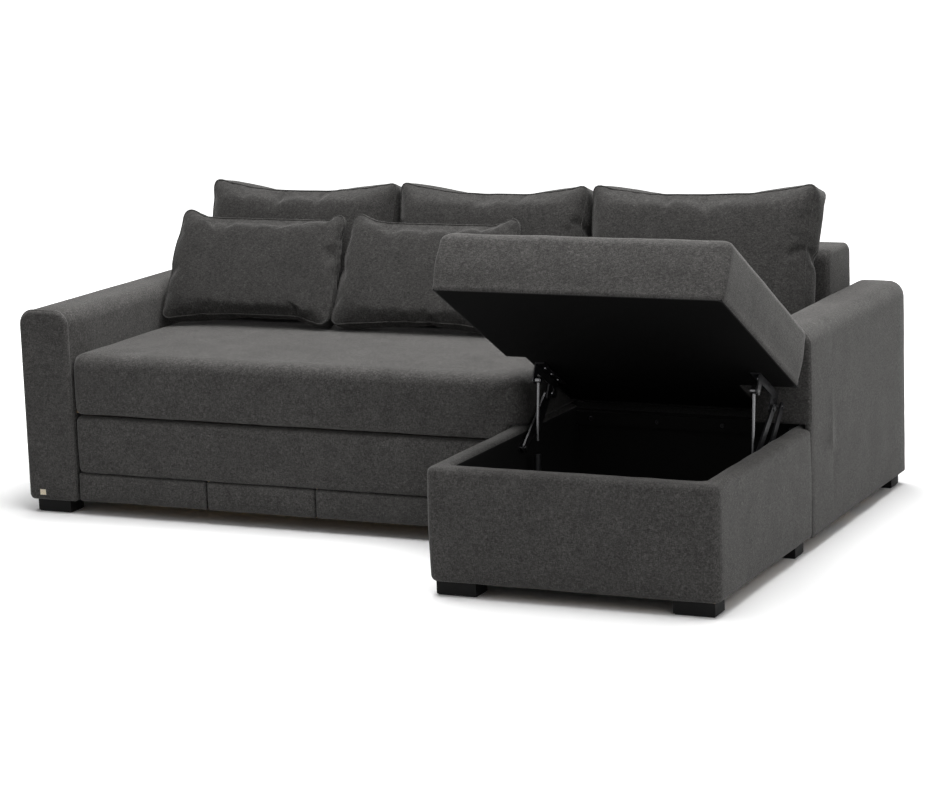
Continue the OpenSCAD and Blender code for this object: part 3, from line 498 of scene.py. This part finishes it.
ARM_EDGE_R = 44
BACK_EDGE_R = 34
LOW_EDGE_R = 7
FRONT_R = 13
CROWN_DEPTH = 60
ARM_CROWN = 1.5
SEAM = [(0, FRONT_R), (2.8, FRONT_R + 2.5), (0, FRONT_R + 5.5)]
WELT_R = 4.0


def arm_piping(name, x0, x1, y, z0, z1):
    """The welt that follows an arm's front arch."""
    r = ARM_EDGE_R
    heights = np.linspace(z0 + 20, z1 - r, 12)
    turns = np.linspace(0.1, QUARTER, 10)
    path = [(x0, y, z0), *[(x0, y, z) for z in heights]]
    path += [(x0 + r - r * math.cos(t), y, z1 - r + r * math.sin(t)) for t in turns]
    path += [(x1 - r + r * math.sin(t), y, z1 - r + r * math.cos(t)) for t in turns - turns[0]]
    path += [*[(x1, y, z) for z in heights[::-1]], (x1, y, z0)]
    return tube(name, path, WELT_R, PIPING_PAINTED_HIGHLIGHT, closed=False)


left_arm = loft(
    "left_arm", rectangle(0, FOOT_H, ARM_W, ARM_H, FRONT_R, ARM_EDGE_R),
    block_levels(0, MAIN_D, FRONT_R, FRONT_R, CROWN_DEPTH, CROWN_DEPTH, ARM_CROWN, ARM_CROWN, seam=SEAM),
    CLOTH, "xz")
uneven(left_arm, EVEN_SKIN)
dress(left_arm, "sofa", "left_arm_cover")
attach(arm_piping("left_arm_welt", 1, ARM_W - 4, 12, FOOT_H + 12, ARM_H - 1), "sofa")

# The right arm's front part reaches over the storage box and covers its side with a thin pad
arm_corner = [
    [ARM_IN_X, POCKET_Z, 5], [SOFA_W - PAD_T, POCKET_Z, 3], [SOFA_W - PAD_T, FOOT_H, 3],
    [SOFA_W, FOOT_H, LOW_EDGE_R], [SOFA_W, ARM_H, ARM_EDGE_R], [ARM_IN_X, ARM_H, ARM_EDGE_R]]
arm_front_levels = soft_end(RIGHT_ARM_Y, -1, 8)[-2::-1]
arm_front_levels += [(0, RIGHT_ARM_Y + 40), (0, 300), (0, BOX_END), (0, BOX_END + 1), (7, BOX_END + 1)]
arm_front = loft("right_arm_front", arm_corner, arm_front_levels, CLOTH, "xz")
arm_rear_levels = [(30, BOX_END), (0, BOX_END), (0, BOX_END + 1), *[(0, y) for y in range(440, 1060, 50)]]
arm_rear_levels += soft_end(MAIN_D, 1, FRONT_R, CROWN_DEPTH, ARM_CROWN)
arm_rear = loft(
    "right_arm_rear", rectangle(ARM_IN_X, FOOT_H, SOFA_W, ARM_H, LOW_EDGE_R, ARM_EDGE_R),
    arm_rear_levels, CLOTH, "xz")
for arm in (arm_front, arm_rear):
    uneven(arm, EVEN_SKIN)
    dress(arm, "sofa", "right_arm_cover")
right_welt = arm_piping("right_arm_welt", ARM_IN_X + 1, SOFA_W - 1, RIGHT_ARM_Y + 8, POCKET_Z + 6, ARM_H - 1)
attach(right_welt, "sofa")

back = loft(
    "backrest", rectangle(BACK_Y, FOOT_H, MAIN_D, BACK_H, LOW_EDGE_R, BACK_EDGE_R),
    block_levels(ARM_W + 0.5, ARM_IN_X - 0.5, 16, 16, CROWN_DEPTH, CROWN_DEPTH, crown0=1, crown1=1),
    CLOTH, "yz")
uneven(back, FRAME_SKIN)
dress(back, "sofa", "back_cover")

# Seat

SEAT_BASE = RIM_Z + 0.3
APRON_DEPTH = 26
APRON_END_X = 1583


def lower_front(obj):
    """Draws the mattress's front down over its frame, left of the storage box."""
    mesh = obj.data
    n = obj["ring"]
    co = np.zeros(len(mesh.vertices) * 3)
    mesh.vertices.foreach_get("co", co)
    co = co.reshape(-1, 3)
    limit = at([APRON_END_X, SEAT_Y[0] + APRON_DEPTH, LOW_Z])
    top = co[:, 2].max()
    height = co[:, 2].copy()
    front = (co[:, 1] < limit[1]) & (co[:, 0] < limit[0])
    base = SEAT_BASE * MM
    share = np.clip((top - height) / (top - base), 0, 1)
    co[front, 2] = (top - share * (top - limit[2]))[front]
    inner = np.arange(len(co)) < n * 2
    co[inner & front, 2] = base
    mesh.vertices.foreach_set("co", co.ravel())
    mesh.update()


seat_levels = block_levels(SEAT_BASE, SEAT_TOP, r0=15, r1=32, deep0=30, deep1=300, crown1=SEAT_CROWN)
seat = loft("seat_top", rectangle(SEAT_X[0], SEAT_Y[0], SEAT_X[1], SEAT_Y[1], 34), seat_levels, CLOTH)
lower_front(seat)
uneven(seat, SEAT_SKIN, length=0.22)
dress(seat, "sofa", "seat_mattress")

rear_seat = loft(
    "rear_seat", rectangle(SEAT_EDGE_X + 4.5, BOX_BACK + 4, ARM_IN_X - GAP, SEAT_Y[1], 22),
    block_levels(RIM_Z + 0.5, SEAT_TOP, r0=9, r1=30, deep1=200, crown1=SEAT_CROWN), CLOTH)
uneven(rear_seat, SEAT_SKIN, length=0.22)
dress(rear_seat, "sofa", "rear_seat_cushion")

# Pull-out bed

PULL_X = (ARM_W + 6, CHAISE_X - 6)
PULL_Y = (3, 721)
PULL_FRONT = PULL_Y[0] + 1
MATTRESS_Z = (128.5, 299.5)
STRIP_Z = (FOOT_H + GAP, 127)
STRIP_T = 24
SEAMS = (0.312, 0.567)
SEAM_GAP = 1.2

lower = loft(
    "pullout_top", rectangle(PULL_X[0], PULL_FRONT, PULL_X[1], PULL_Y[1], 26),
    block_levels(*MATTRESS_Z, r0=13, r1=18, deep0=30, deep1=300, crown1=0.5, belly=1.8), CLOTH)
uneven(lower, FRAME_SKIN, length=0.2)
dress(lower, "pullout", "pullout_mattress")

edges = [PULL_X[0], *[PULL_X[0] + s * (PULL_X[1] - PULL_X[0]) for s in SEAMS], PULL_X[1]]
for i in range(3):
    pad = loft(
        f"pullout_pad_{i}",
        rectangle(edges[i] + SEAM_GAP, STRIP_Z[0], edges[i + 1] - SEAM_GAP, STRIP_Z[1], 8),
        block_levels(PULL_FRONT, PULL_FRONT + STRIP_T, r0=14, r1=2, deep0=32, crown0=2), CLOTH, "xz")
    uneven(pad, EVEN_SKIN)
    dress(pad, "pullout", "pullout_front")

# Storage box: one padded rim round the front and the sides

TUB_X = CHAISE_X + 4.5
TUB_IN_X = (CHAISE_X + WALL_T, SOFA_W - WALL_T)
TUB_IN_Y = WALL_T - REACH
TUB_EDGE_R = 24
RIM_R = 17
FOOT_R = 16
RIM_TOP = RIM_Z - 2.5
TUB_BELLY = 2.5
LINING_TOP = (RIM_Z - 13) * MM
tub_outline = [
    [TUB_X, -REACH, TUB_EDGE_R], [SOFA_W, -REACH, TUB_EDGE_R],
    [SOFA_W, RIGHT_ARM_Y - 1, 6], [SOFA_W - PAD_T, RIGHT_ARM_Y - 1, 2],
    [SOFA_W - PAD_T, BOX_BACK, 3], [TUB_IN_X[1], BOX_BACK, 3],
    [TUB_IN_X[1], TUB_IN_Y, 10], [TUB_IN_X[0], TUB_IN_Y, 10],
    [TUB_IN_X[0], BOX_BACK, 3], [TUB_X, BOX_BACK, 3]]
tub_levels = rounded_edge(FOOT_H, -1, FOOT_R, QUARTER - 0.2, 0, 6)
tub_levels += bulged(0, FOOT_H + FOOT_R, RIM_TOP - RIM_R, TUB_BELLY, 13)
tub_levels += [(0, RIM_TOP - RIM_R), *rounded_edge(RIM_TOP, 1, RIM_R, 0.2, QUARTER, 7)]
tub_levels += [(RIM_R + 1, RIM_TOP + 0.1), (RIM_R + 2.2, RIM_TOP + 0.2)]
tub = loft("box_covers", tub_outline, tub_levels, CLOTH)
tub.data.materials.append(BLACK)
inner_lo = at([TUB_IN_X[0] - 8, TUB_IN_Y - 8, 0])
inner_hi = at([TUB_IN_X[1] + 8, BOX_BACK + 50, 0])
for face in tub.data.polygons:
    c = face.center
    inside = inner_lo[0] < c.x < inner_hi[0] and inner_lo[1] < c.y < inner_hi[1]
    if inside and c.z < LINING_TOP:
        face.material_index = 1
uneven(tub, FRAME_SKIN)
dress(tub, "sofa", "box_front_cover", "box_left_cover", "box_right_cover")

# Lid


def opened(points):
    """Turns points on the closed lid to the open lid."""
    c, s = math.cos(-LID_TILT), math.sin(-LID_TILT)
    p = np.asarray(points, float) - LID_PIVOT
    return np.stack([p[:, 0], c * p[:, 1] - s * p[:, 2], s * p[:, 1] + c * p[:, 2]], 1) + LID_PIVOT


def open_object(obj):
    """Turns a piece that was made on the closed lid to the open lid."""
    co = np.zeros(len(obj.data.vertices) * 3)
    obj.data.vertices.foreach_get("co", co)
    closed = co.reshape(-1, 3) / MM + ORIGIN
    obj.data.vertices.foreach_set("co", at(opened(closed)).ravel())
    obj.data.update()


LID_X = (CHAISE_X + 6, SOFA_W - 6)
LID_IN_X = ARM_IN_X - 9
LID_EAR_Y = 139
LID_END_Y = 345
NOTCH = (SEAT_EDGE_X + 9, -14)
LID_SWELL = 3.5
LID_EDGE_R = 34
LID_CROWN = 8
lid_outline = [
    [LID_X[0], -REACH, 12, 0.4], [LID_X[1], -REACH, 12, 0.4],
    [LID_X[1], LID_EAR_Y, 30], [LID_IN_X, LID_EAR_Y, 16],
    [LID_IN_X, LID_END_Y, 30], [NOTCH[0], LID_END_Y, 30],
    [*NOTCH, 10], [LID_X[0], NOTCH[1], 16]]
lid_levels = [(e, LID_Z + h) for e, h in ((30, 0.5), (3, 0.5), (0.5, 2), (-1, 5), (-1.6, 12), (-1.2, 18))]
lid_levels += bulged(lid_levels[-1][0], lid_levels[-1][1], LID_Z + LID_T - LID_EDGE_R, LID_SWELL, 9)
lid_levels += [(e - 3, h) for e, h in soft_end(LID_Z + LID_T, 1, LID_EDGE_R, deep=220, crown=LID_CROWN)]
lid = loft("lid_top", lid_outline, lid_levels, CLOTH)
uneven(lid, 1.2, length=0.2, above=LID_Z + 2)
open_object(lid)
dress(lid, "lid", "lid_cushion")

under_levels = [(e, LID_Z + h) for e, h in ((0.5, -0.2), (0, 0), (0, 0.4), (2, 0.45))]
under = loft("lid_underside", inset(lid_outline, 7), under_levels, UNDER)
open_object(under)
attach(under, "lid")

# Stuffed cushions


def grid_box(w, t, h, cell, corner):
    """A box's surface as a grid with rounded face corners: points (mm), faces and the two seam loops."""
    nw, nt, nh = max(2, round(w / cell)), max(1, round(t / cell)), max(2, round(h / cell))
    index, points = {}, []

    def vertex(i, j, k):
        if (i, j, k) not in index:
            index[i, j, k] = len(points)
            points.append([w * (i / nw - 0.5), t * (j / nt - 0.5), h * (k / nh - 0.5)])
        return index[i, j, k]

    faces = []

    def face(*corners):
        faces.append([vertex(*c) for c in corners])

    for i in range(nw):
        for k in range(nh):
            face((i, 0, k), (i + 1, 0, k), (i + 1, 0, k + 1), (i, 0, k + 1))
            face((i, nt, k), (i, nt, k + 1), (i + 1, nt, k + 1), (i + 1, nt, k))
    for i in range(nw):
        for j in range(nt):
            face((i, j, 0), (i, j + 1, 0), (i + 1, j + 1, 0), (i + 1, j, 0))
            face((i, j, nh), (i + 1, j, nh), (i + 1, j + 1, nh), (i, j + 1, nh))
    for k in range(nh):
        for j in range(nt):
            face((0, j, k), (0, j, k + 1), (0, j + 1, k + 1), (0, j + 1, k))
            face((nw, j, k), (nw, j + 1, k), (nw, j + 1, k + 1), (nw, j, k + 1))
    loops = []
    for j in (0, nt):
        loop = [(i, j, 0) for i in range(nw)] + [(nw, j, k) for k in range(nh)]
        loop += [(i, j, nh) for i in range(nw, 0, -1)] + [(0, j, k) for k in range(nh, 0, -1)]
        loops.append([index[v] for v in loop])
    p = np.array(points)
    core = np.array([w / 2 - corner, h / 2 - corner])
    flat = p[:, [0, 2]]
    held = np.clip(flat, -core, core)
    q = (flat - held) / corner
    reach = np.abs(q).max(1)
    size = np.linalg.norm(q, axis=1)
    factor = np.where(size > 1e-9, reach / np.maximum(size, 1e-9), 1)
    p[:, [0, 2]] = held + corner * q * factor[:, None]
    return p, faces, loops


SIM_FRAMES = 24
CLOTH_SETTINGS = {
    "quality": 6,
    "mass": 0.25,
    "tension_stiffness": 18,
    "compression_stiffness": 18,
    "shear_stiffness": 6,
    "bending_stiffness": 0.35,
    "tension_damping": 12,
    "compression_damping": 12,
    "air_damping": 4,
}


def inflate(obj, pressure, cap, slack):
    """Blows the cloth up by simulation, moves no point further than cap (mm), and leaves plain mesh."""
    mesh = obj.data
    before = np.zeros(len(mesh.vertices) * 3)
    mesh.vertices.foreach_get("co", before)
    cloth = obj.modifiers.new("Cloth", "CLOTH")
    for key, value in CLOTH_SETTINGS.items():
        setattr(cloth.settings, key, value)
    cloth.settings.shrink_min = -slack
    cloth.settings.use_pressure = True
    cloth.settings.uniform_pressure_force = pressure
    cloth.settings.effector_weights.gravity = 0
    cloth.collision_settings.use_collision = False
    cloth.point_cache.frame_start = 1
    cloth.point_cache.frame_end = SIM_FRAMES
    for f in range(1, SIM_FRAMES + 1):
        scene.frame_set(f)
    deps = bpy.context.evaluated_depsgraph_get()
    solved = obj.evaluated_get(deps)
    after = np.zeros(len(mesh.vertices) * 3)
    solved.data.vertices.foreach_get("co", after)
    obj.modifiers.remove(cloth)
    scene.frame_set(1)
    before, after = before.reshape(-1, 3), after.reshape(-1, 3)
    after += before.mean(0) - after.mean(0)
    move = after - before
    length = np.linalg.norm(move, axis=1)
    move *= np.minimum(1, cap * MM / np.maximum(length, 1e-9))[:, None]
    mesh.vertices.foreach_set("co", (before + move).ravel())
    mesh.update()


def stuffed(name, size, bow, cell, corner, pressure, cap, slack, front, back, heavy):
    """A cushion about the origin, blown up and fitted to its size. Returns points, faces and seams in mm.

    bow is how far each side starts outward in its middle; front and back are how far the faces stand out;
    heavy is how much thicker the lower edge is than the middle."""
    w, t, h = size
    points, faces, loops = grid_box(w, t, h, cell, corner)
    u, v = points[:, 0] / (w / 2), points[:, 2] / (h / 2)
    fx, fz = np.clip(1 - np.abs(u) ** 2.6, 0, 1), np.clip(1 - np.abs(v) ** 2.6, 0, 1)
    points[:, 0] += bow[0] * u * (1 - v * v)
    points[:, 2] += bow[1] * v * (1 - u * u)
    points[:, 1] *= 1 - heavy * v
    points[:, 1] += np.sign(points[:, 1]) * 0.75 * (front - t / 2) * (fx * fz) ** 0.6
    obj = add_mesh(name + "_work", points + ORIGIN, faces, CUSHION_CLOTH_PAINTED_SHADE)
    rng = np.random.default_rng(len(name) + round(w))
    jitter = rng.normal(size=(len(points), 3)) * 0.3 * MM
    obj.data.vertices.foreach_set("co", (points * MM + jitter).ravel())
    inflate(obj, pressure, cap, slack)
    co = np.zeros(len(points) * 3)
    obj.data.vertices.foreach_get("co", co)
    points = co.reshape(-1, 3) / MM
    bpy.data.objects.remove(obj)
    lo, hi = points.min(0), points.max(0)
    for axis, span in ((0, w), (2, h)):
        points[:, axis] = (points[:, axis] - (lo[axis] + hi[axis]) / 2) * span / (hi[axis] - lo[axis])
    y = points[:, 1]
    points[:, 1] = np.where(y < 0, y * front / -lo[1], y * back / hi[1])
    return points, faces, loops


def leaned(points, lean, place):
    """Stands the cushion on its lower edge, leans it back and puts it in its place."""
    c, s = math.cos(-lean), math.sin(-lean)
    y, z = points[:, 1], points[:, 2]
    return np.stack([points[:, 0], c * y - s * z, s * y + c * z], 1) + np.array(place)


def smooth_loop(points):
    """Evens out a closed path."""
    for _ in range(2):
        points = 0.5 * points + 0.25 * (np.roll(points, 1, 0) + np.roll(points, -1, 0))
    return points


def creased(obj, loops, amount):
    """Sharpens the seams in the subdivided skin."""
    wanted = {frozenset((loop[i - 1], loop[i])) for loop in loops for i in range(len(loop))}
    values = [amount if frozenset(e.vertices) in wanted else 0.0 for e in obj.data.edges]
    obj.data.attributes.new("crease_edge", "FLOAT", "EDGE").data.foreach_set("value", values)


SWELL_CAP = 30
SEAM_CREASE = 0.6
CORD_R = 2.6


def cushion(name, x, size, bow, corner, slack, sides, lean, low, plane_y,
            slope=0, taper=0, heavy=0, cell=12, pressure=4.5):
    """A boxed cushion with piped seams, standing on its lower edge against what is behind it."""
    points, faces, loops = stuffed(name, size, bow, cell, corner, pressure, SWELL_CAP, slack, *sides, heavy)
    share = points[:, 2] / size[2] + 0.5
    points[:, 0] *= 1 + taper * (1 - 2 * share)
    points[:, 2] += size[2] / 2 + slope * share * points[:, 0] / size[0]
    points = leaned(points, lean, (x, plane_y, low))
    obj = add_mesh(name, points, faces, CUSHION_CLOTH_PAINTED_SHADE)
    creased(obj, loops, SEAM_CREASE)
    smoothing = obj.modifiers.new("Smooth", "SUBSURF")
    smoothing.levels = smoothing.render_levels = 1
    dress(obj, "sofa", name.replace("_", "_cushion_"))
    for i, loop in enumerate(loops):
        cord = tube(f"{name}_piping_{i}", smooth_loop(points[loop]), CORD_R, CUSHION_PIPING_PAINTED_SHADE)
        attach(cord, "sofa")


# Three large cushions stand in one row along the back, and two small ones lean in front of them.
# ROW_SHARES are the large cushions' edges as shares of the row.
BACK_LEAN = math.radians(18)
BACK_PLANE_Y = 727.0
BACK_T = 128
BACK_SIDES = (BACK_T / 2 + 34, BACK_T / 2 + 8)
CUSHION_H = 420
ROW = (228, 2232)
ROW_SHARES = (0, 0.3287, 0.6474, 1)
HEIGHT_SHARES = (0.995, 1, 1.03)
SLOPES = (0, 0, 20)
CUSHION_Z = 495.3
BACK_LOW = CUSHION_Z + 9.5
for i, place in enumerate(("left", "middle", "right")):
    x0 = ROW[0] + ROW_SHARES[i] * (ROW[1] - ROW[0])
    x1 = ROW[0] + ROW_SHARES[i + 1] * (ROW[1] - ROW[0]) - GAP
    size = (x1 - x0 + 9, BACK_T, CUSHION_H * HEIGHT_SHARES[i])
    cushion(
        f"back_{place}", (x0 + x1) / 2, size, bow=(2, -6), corner=22, slack=0.012, sides=BACK_SIDES,
        lean=BACK_LEAN, low=BACK_LOW, plane_y=BACK_PLANE_Y, slope=SLOPES[i])

SMALL_LEAN = math.radians(24)
SMALL_PLANE_Y = 537.1
SMALL = (594, 48, 362)
SMALL_SIDES = (46, 46)
SMALL_LOW = CUSHION_Z + 5.4
for place, x in (("left", 471), ("right", 1067)):
    cushion(
        f"small_{place}", x, SMALL, bow=(9, 1), corner=26, slack=0.006, sides=SMALL_SIDES,
        lean=SMALL_LEAN, low=SMALL_LOW, plane_y=SMALL_PLANE_Y, taper=0.004, heavy=0.62, cell=10, pressure=2.6)

# Studio

# What the floor reflects onto the sofa and what the camera sees of it, and where it fades to white (m)
FLOOR_LIT = 0.6
FLOOR_SEEN = 1.06
FLOOR_FADE = (1.7, 3.6)
FLOOR_HALF = 40000
WORLD_LIGHT = 0.17


def floor_material():
    """A pale floor: the camera sees it brighter than it lights its surroundings, and plain white far away."""
    n = Nodes("pale_floor")
    path = n.add("ShaderNodeLightPath")
    seen = n.math("MAXIMUM", path.outputs["Is Camera Ray"], path.outputs["Is Glossy Ray"])
    seen = n.math("MAXIMUM", seen, path.outputs["Is Transmission Ray"])
    paint = n.add("ShaderNodeBsdfDiffuse")
    tone = n.mix(grey(FLOOR_LIT), grey(FLOOR_SEEN), seen)
    n.link(tone, paint.inputs["Color"])
    away = n.add("ShaderNodeVectorMath", operation="LENGTH")
    n.link(n.coords, away.inputs[0])
    far = n.add("ShaderNodeMapRange")
    n.link(away.outputs["Value"], far.inputs["Value"])
    far.inputs["From Min"].default_value = FLOOR_FADE[0]
    far.inputs["From Max"].default_value = FLOOR_FADE[1]
    glow = n.add("ShaderNodeEmission")
    glow.inputs["Color"].default_value = (1, 1, 1, 1)
    n.link(n.math("MULTIPLY", seen, far.outputs["Result"]), glow.inputs["Strength"])
    add = n.add("ShaderNodeAddShader")
    n.link(paint.outputs[0], add.inputs[0])
    n.link(glow.outputs[0], add.inputs[1])
    n.link(add.outputs[0], n.tree.nodes["Material Output"].inputs["Surface"])
    return n.material


floor_corners = [[i * FLOOR_HALF, j * FLOOR_HALF, 0] for i, j in ((-1, -1), (1, -1), (1, 1), (-1, 1))]
add_mesh("floor", floor_corners, [[0, 1, 2, 3]], floor_material())

world = bpy.data.worlds.new("studio")
scene.world = world
world.use_nodes = True
tree = world.node_tree
ground = tree.nodes["Background"]
ground.inputs["Color"].default_value = (1, 1, 1, 1)
path = tree.nodes.new("ShaderNodeLightPath")
seen = tree.nodes.new("ShaderNodeMath")
seen.operation = "MAXIMUM"
tree.links.new(path.outputs["Is Camera Ray"], seen.inputs[0])
tree.links.new(path.outputs["Is Glossy Ray"], seen.inputs[1])
level = tree.nodes.new("ShaderNodeMapRange")
tree.links.new(seen.outputs[0], level.inputs["Value"])
level.inputs["To Min"].default_value = WORLD_LIGHT
level.inputs["To Max"].default_value = 1.0
tree.links.new(level.outputs["Result"], ground.inputs["Strength"])


def area_light(name, place, target, size, power):
    data = bpy.data.lights.new(name, "AREA")
    data.shape = "RECTANGLE"
    data.size, data.size_y = size
    data.energy = power
    obj = bpy.data.objects.new(name, data)
    scene.collection.objects.link(obj)
    obj.location = place
    obj.rotation_mode = "QUATERNION"
    obj.rotation_quaternion = (Vector(target) - Vector(place)).to_track_quat("-Z", "Y")


area_light("overhead", (0.3, 0.35, 4.2), (0.1, 0.1, 0.3), (4.6, 3.4), 345)
area_light("front_left", (-3.2, -4.4, 2.6), (0, 0, 0.4), (2.6, 2.2), 9)
area_light("front_right", (4.2, -2.6, 2.8), (0.4, 0, 0.4), (2.4, 2.2), 44)

# Camera, fitted to the photograph's straight edges

CAMERA = (4856.62, -7189.87, 1954.89)
YAW, PITCH, ROLL = (math.radians(a) for a in (25.17, 10.84, -2.0))
FOCAL_PX = 2911.88
FRAME_W = 940
SENSOR_W = 36
forward = Vector((-math.sin(YAW) * math.cos(PITCH), math.cos(YAW) * math.cos(PITCH), -math.sin(PITCH)))
right = Vector((math.cos(YAW), math.sin(YAW), 0))
up = right.cross(forward)
side = math.cos(ROLL) * right + math.sin(ROLL) * up
top = -math.sin(ROLL) * right + math.cos(ROLL) * up
camera_data = bpy.data.cameras.new("camera")
camera_data.sensor_width = SENSOR_W
camera_data.lens = SENSOR_W * FOCAL_PX / FRAME_W
camera_data.clip_end = 200
camera = bpy.data.objects.new("camera", camera_data)
scene.collection.objects.link(camera)
camera.matrix_world = Matrix.Translation(at(CAMERA)) @ Matrix((side, top, -forward)).transposed().to_4x4()
scene.camera = camera

scene.view_settings.view_transform = "Standard"
